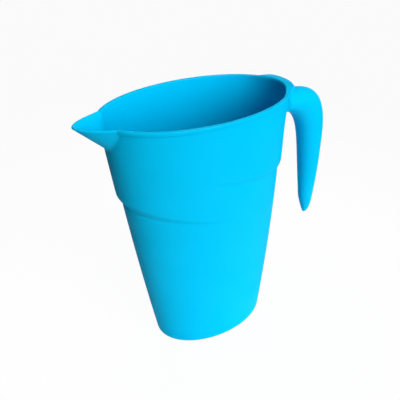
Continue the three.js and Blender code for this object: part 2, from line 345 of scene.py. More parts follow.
@dataclass(frozen=True)
class MouldedPolypropylene:
    """Blue polypropylene as it leaves a polished mould: smooth, satin bright, faintly uneven.

    The pigment hides almost all of the plastic's own gloss. What is left is a thin bright skin, which
    shows as a narrow sheen along the edges.
    """

    colour: str = "#00B3E1"
    flow_colour: str = "#00B6E5"
    roughness: float = 0.4
    pigment_gloss: float = 0.0
    skin_ior: float = 1.49
    skin_roughness: float = 0.15
    skin_low: float = 0.05
    skin_high: float = 0.09
    flow_size: float = 30 * MM
    flow_detail: float = 2.0
    flow_low: float = 0.3
    flow_high: float = 0.7
    grain_size: float = 1.6 * MM
    grain_detail: float = 1.0
    grain_height: float = 0.01 * MM

    def build(self) -> bpy.types.Material:
        """Makes the material.

        Returns:
            The material.
        """
        material = bpy.data.materials.new("moulded_polypropylene_blue")
        tree = empty_tree(material)
        place = add_node(tree, "ShaderNodeTexCoord").outputs["Object"]
        # Melt flow leaves broad patches that are a little paler and glossier than the rest
        flow = add_node(tree, "ShaderNodeTexNoise", inputs={
            "Vector": place,
            "Scale": 1 / self.flow_size,
            "Detail": self.flow_detail,
        })
        patch = add_node(tree, "ShaderNodeMapRange", inputs={
            "Value": flow.outputs["Fac"],
            "From Min": self.flow_low,
            "From Max": self.flow_high,
        })
        blue = add_node(tree, "ShaderNodeMix", {"data_type": "RGBA"}, {
            MIX_SHARE: patch.outputs["Result"],
            MIX_FIRST: linear(self.colour),
            MIX_SECOND: linear(self.flow_colour),
        })
        gloss = add_node(tree, "ShaderNodeMapRange", inputs={
            "Value": patch.outputs["Result"],
            "To Min": self.skin_low,
            "To Max": self.skin_high,
        })
        # The mould's polish leaves a fine grain, drawn coarser than it is so that it shows at all
        grain = add_node(tree, "ShaderNodeTexNoise", inputs={
            "Vector": place,
            "Scale": 1 / self.grain_size,
            "Detail": self.grain_detail,
        })
        relief = add_node(tree, "ShaderNodeBump", inputs={
            "Height": grain.outputs["Fac"],
            "Strength": 1.0,
            "Distance": self.grain_height,
        })
        shader = add_node(tree, "ShaderNodeBsdfPrincipled", inputs={
            "Base Color": blue.outputs[MIX_COLOUR],
            "Roughness": self.roughness,
            "Specular IOR Level": self.pigment_gloss,
            "Coat Weight": gloss.outputs["Result"],
            "Coat Roughness": self.skin_roughness,
            "Coat IOR": self.skin_ior,
            "Normal": relief.outputs["Normal"],
        })
        add_node(tree, "ShaderNodeOutputMaterial", inputs={"Surface": shader.outputs["BSDF"]})
        return material


@dataclass(frozen=True)
class Ledge:
    """One slanted ledge of the waist: the end where it is full, and its height over the origin."""

    side: Side
    level: float


@dataclass(frozen=True)
class OvalShell:
    """Rule of the wall: an oval that tapers, bows, and steps in below two slanted ledges.

    The step is deep at both ends and shallow on the flanks. Its share is 0 on the upper wall's face
    and 1 on the lower wall's. Just under the rim the handle's end flares a little. The mesh is fine from
    some shoulders below a ledge to some edge rounds above its rise.
    """

    height: float = 230 * MM
    wall: float = 2 * MM
    rim_length: float = 155.8 * MM
    rim_width: float = 91.6 * MM
    rim_shift: float = -12.5 * MM
    lip_proud: float = 1.2 * MM
    lip_height: float = 3.2 * MM
    base_length: float = 107 * MM
    base_width: float = 67 * MM
    tray_height: float = 12 * MM
    spout_bow: float = 1.9 * MM
    handle_bow: float = 3.9 * MM
    side_bow: float = 0.4 * MM
    handle_flare: float = 1.7 * MM
    flare_height: float = 36 * MM
    end_step: float = 3.1 * MM
    flank_step: float = 0.6 * MM
    ledges: tuple[Ledge, Ledge] = (Ledge(Side.SPOUT, 139 * MM), Ledge(Side.HANDLE, 175 * MM))
    ledge_fall: float = 0.232
    end_rise: float = 8 * MM
    flank_rise: float = 3.2 * MM
    ledge_shoulder: float = 2.6 * MM
    ledge_groove: float = 0.8 * MM
    handover: tuple[float, float] = (-38 * MM, 8 * MM)
    groove_round: float = 0.8 * MM
    end_edge_round: float = 2.4 * MM
    flank_edge_round: float = 0.9 * MM
    ledge_passes: int = 3
    row_counts: tuple[int, ...] = (24, 34, 8, 34, 14)
    rounds_above: float = 1.5
    shoulders_below: float = 2.0

    @property
    def wall_top(self) -> float:
        """Height of the wall under the lip."""
        return self.height - self.lip_height

    @property
    def rim_spout_x(self) -> float:
        """Spout end of the rim oval, over the lip."""
        return self.rim_shift - self.rim_length / 2

    @property
    def rim_handle_x(self) -> float:
        """Handle end of the rim oval, over the lip."""
        return self.rim_shift + self.rim_length / 2

    def oval(self, z: np.ndarray) -> tuple[np.ndarray, np.ndarray, np.ndarray]:
        """Middle and half sizes of the upper wall's oval at a height.

        Args:
            z: Heights.

        Returns:
            Middle along X, half length and half width.
        """
        k = z / self.height
        bow = 4 * k * (1 - k)
        foot = self.base_length / 2 + self.end_step
        spout_x = -foot + (self.rim_spout_x + self.lip_proud + foot) * k - self.spout_bow * bow
        handle_x = foot + (self.rim_handle_x - self.lip_proud - foot) * k + self.handle_bow * bow
        handle_x = handle_x + self.handle_flare * smoothstep((z - self.height) / self.flare_height + 1)
        side = self.base_width / 2 + self.flank_step
        half_width = side + (self.rim_width / 2 - self.lip_proud - side) * k + self.side_bow * bow
        return (spout_x + handle_x) / 2, (handle_x - spout_x) / 2, half_width

    def face(self, angle: np.ndarray, z: np.ndarray, inset: np.ndarray | float,
             share: np.ndarray | float = 0.0) -> np.ndarray:
        """Points of the wall, set in by a distance and by a share of the step.

        Args:
            angle: Angles round the oval, from the handle's end.
            z: Heights.
            inset: Distance inwards, the same all round.
            share: Share of the step.

        Returns:
            Points, in the common shape of the arguments.
        """
        middle, half_length, half_width = self.oval(z)
        x = middle + (half_length - self.end_step * share - inset) * np.cos(angle)
        y = (half_width - self.flank_step * share - inset) * np.sin(angle)
        return np.stack(np.broadcast_arrays(x, y, z), axis=-1)

    def face_at(self, y: np.ndarray, z: np.ndarray, inset: np.ndarray | float, side: Side) -> np.ndarray:
        """Points of the wall at given Y and Z, on one end of the jug.

        Args:
            y: Distances from the jug's plane of symmetry.
            z: Heights.
            inset: Distance inwards from the upper wall's face.
            side: End of the jug.

        Returns:
            Points on the wall.
        """
        half_width = self.oval(z)[2] - inset
        angle = np.arcsin(np.clip(y / half_width, -1, 1))
        return self.face(angle if side is Side.HANDLE else math.pi - angle, z, inset)

    def ledge_height(self, angle: np.ndarray, ledge: Ledge) -> np.ndarray:
        """Heights at which a ledge passes the given angles.

        Args:
            angle: Angles round the oval.
            ledge: The ledge.

        Returns:
            Heights, one per angle.
        """
        z = np.full_like(angle, ledge.level)
        for _ in range(self.ledge_passes):
            z = ledge.level - self.ledge_fall * self.face(angle, z, 0.0, 1.0)[..., 0]
        return z

    def ledge_part(self, angle: np.ndarray, ledge: Ledge) -> np.ndarray:
        """Part of the whole step that a ledge takes at the given angles.

        Args:
            angle: Angles round the oval.
            ledge: The ledge.

        Returns:
            Parts from 0 to 1, one per angle.
        """
        low = self.ledge_height(angle, self.ledges[0])
        x = self.face(angle, low, 0.0, 1.0)[..., 0]
        start, end = self.handover
        handle_part = smoothstep((x - start) / (end - start))
        return handle_part if ledge.side is Side.HANDLE else 1 - handle_part

    def step_share(self, angle: np.ndarray, z: np.ndarray, groove: float) -> np.ndarray:
        """Share of the step at each place of the wall.

        Args:
            angle: Angles round the oval.
            z: Heights, with the angles as the last axis.
            groove: Depth of the groove under each ledge, at the jug's ends.

        Returns:
            Shares, in the shape of z.
        """
        total = np.ones_like(z)
        groove_share = groove / self.end_step
        shoulder_slope = groove_share / self.ledge_shoulder
        endwise = np.cos(angle) ** 2
        rise = self.flank_rise + (self.end_rise - self.flank_rise) * endwise
        edge_round = self.flank_edge_round + (self.end_edge_round - self.flank_edge_round) * endwise
        rise_slope = (1 + groove_share) / rise
        for ledge in self.ledges:
            t = z - self.ledge_height(angle, ledge)
            profile = shoulder_slope * soft_ramp(t + self.ledge_shoulder, self.groove_round)
            profile -= (shoulder_slope + rise_slope) * soft_ramp(t, self.groove_round)
            profile += rise_slope * soft_ramp(t - rise, edge_round)
            total += self.ledge_part(angle, ledge) * profile
        return total

    def rows(self, angle: np.ndarray, top: np.ndarray) -> np.ndarray:
        """Heights for a fine mesh of the wall, close together at the ledges.

        Args:
            angle: Angles round the oval.
            top: Height at which the mesh ends, for each angle.

        Returns:
            Heights, rows by angles.
        """
        below = self.shoulders_below * self.ledge_shoulder
        above = self.end_rise + self.rounds_above * self.end_edge_round
        low, high = (self.ledge_height(angle, ledge) for ledge in self.ledges)
        foot = np.full_like(angle, self.tray_height)
        ends = [foot, low - below, low + above, high - below, high + above, top]
        return spread(ends, self.row_counts)


@dataclass(frozen=True)
class SpoutRule:
    """Rule of the spout: a parabola in plan that slides down along the keel to the wall.

    Its deepest cut into the wall counts in depths of the spout, and its widest share is of the rim.
    """

    shell: OvalShell
    reach: float = 17.7 * MM
    depth: float = 19.8 * MM
    rise: float = 0.4 * MM
    tip_radius: float = 7.2 * MM
    wall: float = 2.2 * MM
    inner_soft: float = 5 * MM
    inner_growth: float = 6 * MM
    deepest_cut: float = 1.5
    widest_share: float = 1 / 3
    clearance_passes: int = 6
    notch_passes: int = 8
    foot_passes: int = 4
    foot_points: int = 241
    halvings: int = 40

    @property
    def tip(self) -> np.ndarray:
        """Foremost point of the mouth."""
        return np.array([self.shell.rim_spout_x - self.reach, 0, self.shell.height + self.rise])

    @property
    def keel_run(self) -> float:
        """How far the keel runs back for each metre that it falls."""
        foot = self.shell.face(np.array(math.pi), np.array(self.shell.height - self.depth), 0.0)
        return float((foot[0] - self.tip[0]) / (self.tip[2] - foot[2]))

    def mouth(self, y: np.ndarray, clearance: float) -> np.ndarray:
        """Points of the mouth's edge.

        Args:
            y: Places on the outer parabola, before the clearance.
            clearance: Distance outwards from the outer face.

        Returns:
            Points of the edge.
        """
        run = y * y / (2 * self.tip_radius)
        slant = np.hypot(self.tip_radius, y)
        fall = self.rise * np.minimum(run / self.reach, 1)
        x = self.tip[0] + run + self.keel_run * fall - clearance * self.tip_radius / slant
        return np.stack([x, y + clearance * y / slant, self.tip[2] - fall], axis=-1)

    def along_keel(self, points: np.ndarray, drop: np.ndarray) -> np.ndarray:
        """Points moved down along the keel by the given drops."""
        way = np.array([self.keel_run, 0, -1])
        return points + way * np.asarray(drop)[..., None]

    def height_at(self, x: np.ndarray, y: np.ndarray, clearance: float) -> np.ndarray:
        """Height of the spout's face over a place in plan.

        Args:
            x: Places along X.
            y: Places along Y.
            clearance: Distance outwards from the outer face.

        Returns:
            Heights of the face.
        """
        place = y
        for _ in range(self.clearance_passes):
            place = y - clearance * place / np.hypot(self.tip_radius, place)
        edge = self.mouth(place, clearance)
        return edge[..., 2] - (x - edge[..., 0]) / self.keel_run

    def notch(self, angle: np.ndarray, inset: float, clearance: float, top: float) -> np.ndarray:
        """Height of a wall face at each angle, cut down where the spout's face passes through it.

        Args:
            angle: Angles round the oval.
            inset: Which wall face, as the distance inwards from the upper wall's face.
            clearance: Which spout face, as the distance outwards from the outer one.
            top: Height of the wall away from the spout.

        Returns:
            Heights, one per angle.
        """
        z = np.full_like(angle, top)
        near = np.cos(angle) < 0
        lowest = self.shell.height - self.deepest_cut * self.depth
        for _ in range(self.notch_passes):
            place = self.shell.face(angle, z, inset)
            cut = self.height_at(place[:, 0], place[:, 1], clearance)
            z = np.where(near, np.clip(cut, lowest, top), top)
        return z

    def inner_soft_at(self, root_z: np.ndarray) -> np.ndarray:
        """Reach of the rounded edge between channel and wall; it dies out towards the rim."""
        return self.inner_soft * smoothstep((self.shell.wall_top - root_z) / self.inner_growth)

    def inner_foot(self, y: np.ndarray, z: np.ndarray) -> tuple[np.ndarray, np.ndarray]:
        """Line on the wall where the rounded edge runs out, square to where channel and wall meet.

        Args:
            y: Places along Y of the line where channel and wall meet, in rising order.
            z: Heights of that line.

        Returns:
            Places along Y and heights of the line where the rounding ends.
        """
        along_y, along_z = np.gradient(y), np.gradient(z)
        reach = self.inner_soft_at(z) / np.hypot(along_y, along_z)
        return y + along_z * reach, z - along_y * reach

    def inner_notch(self, angle: np.ndarray) -> np.ndarray:
        """Height of the wall's inner face, cut down for the channel and its rounded edge.

        Args:
            angle: Angles round the oval.

        Returns:
            Heights, one per angle.
        """
        shell = self.shell
        end = np.linspace(3 * QUARTER, QUARTER, self.foot_points)
        meet = shell.face(end, self.notch(end, shell.wall, -self.wall, shell.wall_top), shell.wall)
        foot_y, foot_z = self.inner_foot(meet[:, 1], meet[:, 2])
        z = np.full_like(angle, shell.wall_top)
        for _ in range(self.foot_passes):
            place = shell.face(angle, z, shell.wall)
            z = np.where(np.cos(angle) < 0, np.interp(place[:, 1], foot_y, foot_z), shell.wall_top)
        return z

    def half_span(self, inset: float, clearance: float, top: float) -> float:
        """Place on the outer parabola where its edge meets a wall face, found by halving.

        Args:
            inset: Which wall face, as the distance inwards from the upper wall's face.
            clearance: Which spout face, as the distance outwards from the outer one.
            top: Height at which they meet.

        Returns:
            Distance from the jug's plane of symmetry.
        """
        low, high = 0.0, self.shell.rim_width * self.widest_share
        for _ in range(self.halvings):
            middle = (low + high) / 2
            edge = self.mouth(np.array([middle]), clearance)[0]
            wall = self.shell.face_at(edge[1], np.array(top), inset, Side.SPOUT)
            low, high = (middle, high) if edge[0] < wall[0] else (low, middle)
        return low


@dataclass(frozen=True)
class HandleRule:
    """Rule of the hook handle: elliptical sections between an outer and an inner edge.

    The seam is the place along the shoulder, from 0 to 1, where saddle and grip meet.
    """

    shell: OvalShell
    reach: float = 50.8 * MM
    length: float = 143.3 * MM
    top_drop: float = 7.8 * MM
    root_depth: float = 17.1 * MM
    root_width: float = 26 * MM
    shoulder_drop: float = 56 * MM
    shoulder_level: float = 27.2 * MM
    shoulder_pull: float = 58.5 * MM
    arch_drop: float = 45.6 * MM
    arch_dip: float = 2.6 * MM
    arch_level: float = 23.6 * MM
    arch_tuck: float = 3.9 * MM
    arch_pull: float = 19.5 * MM
    grip_thickness: float = 22.1 * MM
    grip_width: float = 20 * MM
    grip_lean: float = 0.2 * MM
    grip_bow: float = 1.7 * MM
    tip_thickness: float = 14.3 * MM
    tip_length: float = 19.8 * MM
    tip_set_back: float = 6.6 * MM
    tip_round: float = 6.1 * MM
    tab_share: float = 0.49
    seam: float = 0.16
    half_turns: int = 64

    @property
    def root_x(self) -> float:
        """Where the handle's outline starts, on the wall's face."""
        return self.shell.rim_handle_x - self.shell.lip_proud

    @property
    def root_middle(self) -> float:
        """Height of the middle of the handle's root."""
        return self.shell.height - self.top_drop - self.root_depth / 2

    @property
    def tab_turn(self) -> float:
        """Turn of the section, from its top, that lies under the thumb tab on each side."""
        return self.tab_share * math.pi

    def turns(self) -> np.ndarray:
        """Places round a section: under the tab from the near side to the far one, then below.

        Returns:
            Turns from the top of the section.
        """
        under = np.linspace(self.tab_turn, -self.tab_turn, self.half_turns, endpoint=False)
        below = np.linspace(-self.tab_turn, self.tab_turn - TURN, self.half_turns, endpoint=False)
        return np.concatenate([under, below])

    def edges(self, s: np.ndarray) -> tuple[np.ndarray, np.ndarray]:
        """Outer and inner edge in the plane of symmetry, as X and Z.

        Args:
            s: Places along the handle: 0 to 1 shoulder, 1 to 2 grip, 2 to 3 tip.

        Returns:
            Outer and inner points.
        """
        top = self.shell.height - self.top_drop
        under = top - self.root_depth
        outer_x = self.root_x + self.reach
        end_x = outer_x + self.grip_lean
        tip = (end_x - self.tip_set_back, self.shell.height - self.length)
        shoulder = (outer_x, top - self.shoulder_drop)
        arch = (outer_x - self.grip_thickness, under - self.arch_drop)
        outer_end = (end_x, tip[1] + self.tip_length)
        inner_end = (end_x - self.tip_thickness, tip[1] + self.tip_length)
        bow = ((shoulder[0] + outer_end[0]) / 2 + self.grip_bow, (shoulder[1] + outer_end[1]) / 2)
        outer_parts = [
            [(self.root_x, top), (self.root_x + self.shoulder_level, top),
             (outer_x, shoulder[1] + self.shoulder_pull), shoulder],
            [shoulder, bow, outer_end],
            [outer_end, (end_x, tip[1]), tip],
        ]
        inner_parts = [
            [(self.root_x, under), (self.root_x + self.arch_level, under - self.arch_dip),
             (arch[0] - self.arch_tuck, arch[1] + self.arch_pull), arch],
            [arch, inner_end],
            [inner_end, (inner_end[0] + self.tip_round, tip[1]), tip],
        ]
        part = np.minimum(s.astype(int), len(outer_parts) - 1)
        outer = np.empty((len(s), 2))
        inner = np.empty((len(s), 2))
        for i, (outer_part, inner_part) in enumerate(zip(outer_parts, inner_parts)):
            chosen = part == i
            outer[chosen] = bezier(outer_part, s[chosen] - i)
            inner[chosen] = bezier(inner_part, s[chosen] - i)
        return outer, inner

    def sections(self, s: np.ndarray) -> np.ndarray:
        """Sections of the handle.

        Args:
            s: Places along the handle, as for edges.

        Returns:
            Points, sections by turns by 3.
        """
        outer, inner = self.edges(s)
        shoulder_outer, shoulder_inner = self.edges(np.array([1.0]))
        full = np.linalg.norm(shoulder_outer - shoulder_inner)
        thickness = np.linalg.norm(outer - inner, axis=1)
        root_half = (self.root_width + (self.grip_width - self.root_width) * s) / 2
        half_width = np.where(s < 1, root_half, self.grip_width / 2 * thickness / full)
        turn = self.turns()
        share = ((1 + np.cos(turn)) / 2)[None, :]
        x = inner[:, 0, None] + (outer - inner)[:, 0, None] * share
        z = inner[:, 1, None] + (outer - inner)[:, 1, None] * share
        y = -half_width[:, None] * np.sin(turn)[None, :]
        return np.stack([x, y, z], axis=-1)


@dataclass
class JugPart:
    """One piece of the jug, with the solid that it stands for."""

    node: ClassVar[str] = ""

    shell: OvalShell
    finish: bpy.types.Material

    @property
    def piece_name(self) -> str:
        """Name of the finished piece."""
        return f"{self.node}_moulding"

    def skin(self) -> bpy.types.Object:
        """Makes the piece's mesh."""
        raise NotImplementedError

    def build(self) -> bpy.types.Object:
        """Makes the piece, dresses it and puts it in its solid's place.

        Returns:
            The finished piece.
        """
        piece = self.skin()
        piece.data.materials.clear()
        piece.data.materials.append(self.finish)
        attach(piece, BODY)
        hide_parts(self.node)
        LOG.info("%s: %d faces", piece.name, len(piece.data.polygons))
        return piece


@dataclass
class BaseTray(JugPart):
    """Floor of the jug with its rounded edge and the lowest part of the wall."""

    node: ClassVar[str] = "base_tray"

    edge_round: float = 7 * MM
    floor: float = 2.4 * MM
    floor_round: float = 3 * MM
    facets: int = 240
    round_steps: int = 10

    def _corner(self, angle: np.ndarray, radius: float, bottom: float, inset: float) -> np.ndarray:
        """Rows of a rounded corner and the wall over it.

        Args:
            angle: Angles round the oval.
            radius: Radius of the corner.
            bottom: Height of the flat that the corner starts from.
            inset: Inset of the wall over the corner.

        Returns:
            Points, rows by angles by 3, with one row past the tray's top.
        """
        top = self.shell.tray_height
        turn = np.linspace(0, QUARTER, self.round_steps + 1)
        height = np.concatenate([bottom + radius * (1 - np.cos(turn)), [top, 2 * top - bottom - radius]])
        depth = np.concatenate([inset + radius * (1 - np.sin(turn)), [inset, inset]])
        return self.shell.face(angle[None, :], height[:, None], depth[:, None], 1.0)

    def skin(self) -> bpy.types.Object:
        """Makes the tray: outside, underside, inside and floor.

        Returns:
            The bare piece.
        """
        angle = np.linspace(0, TURN, self.facets, endpoint=False)
        outside = self._corner(angle, self.edge_round, 0.0, 0.0)
        inside = self._corner(angle, self.floor_round, self.floor, self.shell.wall)
        skin = Skin()
        skin.grid(outside, wrap=True, margin=(0, 1))
        skin.grid(inside, wrap=True, flip=True, margin=(0, 1))
        skin.strip(outside[-2], inside[-2], wrap=True)
        skin.cap(outside[0], flip=True)
        skin.cap(inside[0])
        return skin.piece(self.piece_name)


@dataclass
class BodyWall(JugPart):
    """Tapered oval wall with both slanted ledges, cut down where the spout goes through."""

    node: ClassVar[str] = "body_wall"

    spout: SpoutRule
    lip_seat: float = 1.8 * MM
    facets: int = 240

    def _face_rows(self, angle: np.ndarray, groove: float, depth: float, top: np.ndarray) -> np.ndarray:
        """Rows of one face of the wall, with one more row below its foot.

        Args:
            angle: Angles round the oval.
            groove: Depth of the groove under each ledge.
            depth: Distance behind the outer face.
            top: Height of the face at each angle.

        Returns:
            Points, rows by angles by 3.
        """
        z = self.shell.rows(angle, top)
        z = np.concatenate([z[:1] - (z[1] - z[0]), z])
        return self.shell.face(angle, z, depth, self.shell.step_share(angle, z, groove))

    def skin(self) -> bpy.types.Object:
        """Makes the wall: outer face, inner face and the edges between them.

        Returns:
            The bare piece.
        """
        shell = self.shell
        angle = np.linspace(0, TURN, self.facets, endpoint=False)
        outer_top = self.spout.notch(angle, 0.0, 0.0, shell.wall_top)
        inner_top = self.spout.inner_notch(angle)
        inner_top += self.lip_seat * smoothstep((inner_top - shell.wall_top) / self.lip_seat + 1)
        outer = self._face_rows(angle, shell.ledge_groove, 0.0, outer_top)
        inner = self._face_rows(angle, 0.0, shell.wall, inner_top)
        skin = Skin()
        skin.grid(outer, wrap=True, margin=(1, 0))
        skin.grid(inner, wrap=True, flip=True, margin=(1, 0))
        skin.strip(outer[1], inner[1], wrap=True, flip=True)
        skin.strip(outer[-1], inner[-1], wrap=True)
        return skin.piece(self.piece_name)


@dataclass
class RimLip(JugPart):
    """Small proud band round the mouth, swept along the rim from one side of the spout to the other."""

    node: ClassVar[str] = "rim_lip"

    spout: SpoutRule
    edge_round: float = 0.8 * MM
    inner_gap: float = 0.06 * MM
    sharp_angle: float = 50.0
    facets: int = 320
    round_steps: int = 6

    def _path(self) -> bpy.types.Object:
        """Makes the path of the band's middle, with the wall's lean as an attribute of its points.

        Returns:
            The path, a mesh of edges.
        """
        shell = self.shell
        inset = (shell.wall - self.inner_gap - shell.lip_proud) / 2
        height = shell.height - shell.lip_height / 2
        side = self.spout.half_span(inset, -self.spout.wall / 2, height)
        edge = self.spout.mouth(np.array([side]), -self.spout.wall / 2)[0]
        start = math.pi - math.asin(edge[1] / (shell.oval(np.array(height))[2] - inset))
        angle = np.linspace(-start, start, self.facets)
        points = shell.face(angle, np.full_like(angle, height), inset)
        over = shell.face(angle, np.full_like(angle, shell.height), inset)
        lean = (over - points) / (shell.lip_height / 2) * np.array([1, 1, 0])
        mesh = bpy.data.meshes.new("rim_path")
        mesh.from_pydata([tuple(p) for p in points], [(i, i + 1) for i in range(len(points) - 1)], [])
        leans = mesh.attributes.new("lean", "FLOAT_VECTOR", "POINT")
        leans.data.foreach_set("vector", lean.astype(np.float32).ravel())
        return add_object("rim_path", mesh)

    def _tree(self) -> bpy.types.NodeTree:
        """Builds the tree that sweeps a rounded band along a path and leans it with the wall.

        Returns:
            The tree, with named inputs for the band's sizes.
        """
        tree = bpy.data.node_groups.new("rim_band", "GeometryNodeTree")
        sockets = {
            "Path": "NodeSocketGeometry",
            "Band Width": "NodeSocketFloat",
            "Band Height": "NodeSocketFloat",
            "Edge Round": "NodeSocketFloat",
            "Round Steps": "NodeSocketInt",
            "Middle Height": "NodeSocketFloat",
            "Finish": "NodeSocketMaterial",
        }
        for name, kind in sockets.items():
            tree.interface.new_socket(name, in_out="INPUT", socket_type=kind)
        tree.interface.new_socket("Band", in_out="OUTPUT", socket_type="NodeSocketGeometry")
        given = add_node(tree, "NodeGroupInput").outputs
        rail = add_node(tree, "GeometryNodeMeshToCurve", inputs={"Mesh": given["Path"]})
        upright = add_node(tree, "GeometryNodeSetCurveNormal", {"mode": "Z_UP"}, {
            "Curve": rail.outputs["Curve"],
        })
        outline = add_node(tree, "GeometryNodeCurvePrimitiveQuadrilateral", inputs={
            "Width": given["Band Width"],
            "Height": given["Band Height"],
        })
        rounded = add_node(tree, "GeometryNodeFilletCurve", {"mode": "POLY"}, {
            "Curve": outline.outputs["Curve"],
            "Count": given["Round Steps"],
            "Radius": given["Edge Round"],
        })
        band = add_node(tree, "GeometryNodeCurveToMesh", inputs={
            "Curve": upright.outputs["Curve"],
            "Profile Curve": rounded.outputs["Curve"],
            "Fill Caps": True,
        })
        lean = add_node(tree, "GeometryNodeInputNamedAttribute", {"data_type": "FLOAT_VECTOR"}, {
            "Name": "lean",
        })
        place = add_node(tree, "ShaderNodeSeparateXYZ", inputs={
            "Vector": add_node(tree, "GeometryNodeInputPosition").outputs["Position"],
        })
        over = add_node(tree, "ShaderNodeMath", {"operation": "SUBTRACT"}, {
            0: place.outputs["Z"],
            1: given["Middle Height"],
        })
        shift = add_node(tree, "ShaderNodeVectorMath", {"operation": "SCALE"}, {
            0: lean.outputs["Attribute"],
            "Scale": over.outputs["Value"],
        })
        leaning = add_node(tree, "GeometryNodeSetPosition", inputs={
            "Geometry": band.outputs["Mesh"],
            "Offset": shift.outputs["Vector"],
        })
        real = add_node(tree, "GeometryNodeRealizeInstances", inputs={
            "Geometry": leaning.outputs["Geometry"],
        })
        dressed = add_node(tree, "GeometryNodeSetMaterial", inputs={
            "Geometry": real.outputs["Geometry"],
            "Material": given["Finish"],
        })
        add_node(tree, "NodeGroupOutput", inputs={"Band": dressed.outputs["Geometry"]})
        return tree

    def skin(self) -> bpy.types.Object:
        """Sweeps the band and turns it into a plain mesh.

        Returns:
            The bare piece.
        """
        shell = self.shell
        path = self._path()
        tree = self._tree()
        sweep = path.modifiers.new("rim_band", "NODES")
        sweep.node_group = tree
        sizes = {
            "Band Width": shell.wall + shell.lip_proud - self.inner_gap,
            "Band Height": shell.lip_height,
            "Edge Round": self.edge_round,
            "Round Steps": self.round_steps,
            "Middle Height": shell.height - shell.lip_height / 2,
            "Finish": self.finish,
        }
        for item in tree.interface.items_tree:
            if item.name in sizes:
                sweep[item.identifier] = sizes[item.name]
        evaluated = path.evaluated_get(bpy.context.evaluated_depsgraph_get())
        mesh = bpy.data.meshes.new_from_object(evaluated)
        mesh.name = self.piece_name
        mesh.shade_smooth()
        mesh.set_sharp_from_angle(angle=math.radians(self.sharp_angle))
        path.modifiers.clear()
        bpy.data.objects.remove(path)
        return add_object(self.piece_name, mesh)


@dataclass
class PouringSpout(JugPart):
    """Pointed trough of the spout, with a rounded edge and a soft root on the wall."""

    node: ClassVar[str] = "pouring_spout"

    spout: SpoutRule
    root_soft: float = 2.2 * MM
    soft_share: float = 0.6
    sink: float = 0.02 * MM
    edge_round: float = 0.9 * MM
    facets: int = 96
    edge_steps: int = 8
    straight_steps: int = 8
    root_steps: int = 8
    inner_steps: int = 6
    drop_passes: int = 30
    drop_ease: float = 0.7

    def _drop_to_wall(self, edge: np.ndarray, inset: float) -> np.ndarray:
        """How far each point of an edge falls along the keel before it meets a wall face.

        Args:
            edge: Points of the edge.
            inset: Which wall face, as the distance inwards from the upper wall's face.

        Returns:
            Drops, one per point.
        """
        drop = np.zeros(len(edge))
        for _ in range(self.drop_passes):
            place = self.spout.along_keel(edge, drop)
            wall = self.shell.face_at(place[:, 1], place[:, 2], inset, Side.SPOUT)
            gap = wall[:, 0] - place[:, 0]
            drop = np.maximum(drop + gap / self.spout.keel_run * self.drop_ease, 0)
        return drop

    def _fall(self, edge: np.ndarray, drop: np.ndarray) -> list[np.ndarray]:
        """Rows straight down along the keel, from an edge to the given drops."""
        shares = np.linspace(0, 1, self.straight_steps + 1)
        return [self.spout.along_keel(edge, drop * k) for k in shares]

    def _outer(self, edge: np.ndarray) -> np.ndarray:
        """Rows of the outer face, from the edge to where its soft root runs out on the wall.

        Args:
            edge: Upper edge of the outer face.

        Returns:
            Points, rows by places on the edge by 3.
        """
        drop = self._drop_to_wall(edge, 0.0)
        soft = np.minimum(self.root_soft, self.soft_share * drop)
        straight = self._fall(edge, drop - soft)
        root = self.spout.along_keel(edge, drop)
        end = self.shell.face_at(root[:, 1], root[:, 2] - soft, self.sink, Side.SPOUT)
        places = np.linspace(0, 1, self.root_steps + 1)[1:]
        return np.array(straight + [bend(straight[-1], root, end, k) for k in places])

    def _inner(self, edge: np.ndarray) -> np.ndarray:
        """Rows of the inner face, from the edge over a rounded edge to the inner face of the wall.

        Args:
            edge: Upper edge of the inner face.

        Returns:
            Points, rows by places on the edge by 3.
        """
        drop = self._drop_to_wall(edge, self.shell.wall)
        root = self.spout.along_keel(edge, drop)
        foot_y, foot_z = self.spout.inner_foot(root[:, 1], root[:, 2])
        soft = np.minimum(self.spout.inner_soft_at(root[:, 2]), drop)
        straight = self._fall(edge, drop - soft)
        end = self.shell.face_at(foot_y, foot_z, self.shell.wall, Side.SPOUT)
        places = np.linspace(0, 1, self.inner_steps + 1)[1:]
        return np.array(straight + [bend(straight[-1], root, end, k) for k in places])

    def skin(self) -> bpy.types.Object:
        """Makes the trough: outer face, rounded edge, inner face and the hidden seat in the wall.

        Returns:
            The bare piece.
        """
        span = self.spout.half_span(self.shell.wall / 2, -self.spout.wall / 2, self.shell.height)
        y = span * np.linspace(-1, 1, self.facets + 1)
        outer_edge = self.spout.mouth(y, 0.0)
        inner_edge = self.spout.mouth(y, -self.spout.wall)
        turn = np.linspace(0, math.pi, self.edge_steps + 1)[:, None, None]
        share = (1 - np.cos(turn)) / 2
        lift = np.array([0, 0, 1]) * (self.edge_round * (np.sin(turn) - 1))
        edge = outer_edge * (1 - share) + inner_edge * share + lift
        outer = self._outer(edge[0])
        inner = self._inner(edge[-1])
        skin = Skin()
        skin.grid(np.concatenate([outer[:0:-1], edge, inner[1:]]))
        skin.strip(outer[-1], inner[-1], flip=True)
        return skin.piece(self.piece_name)


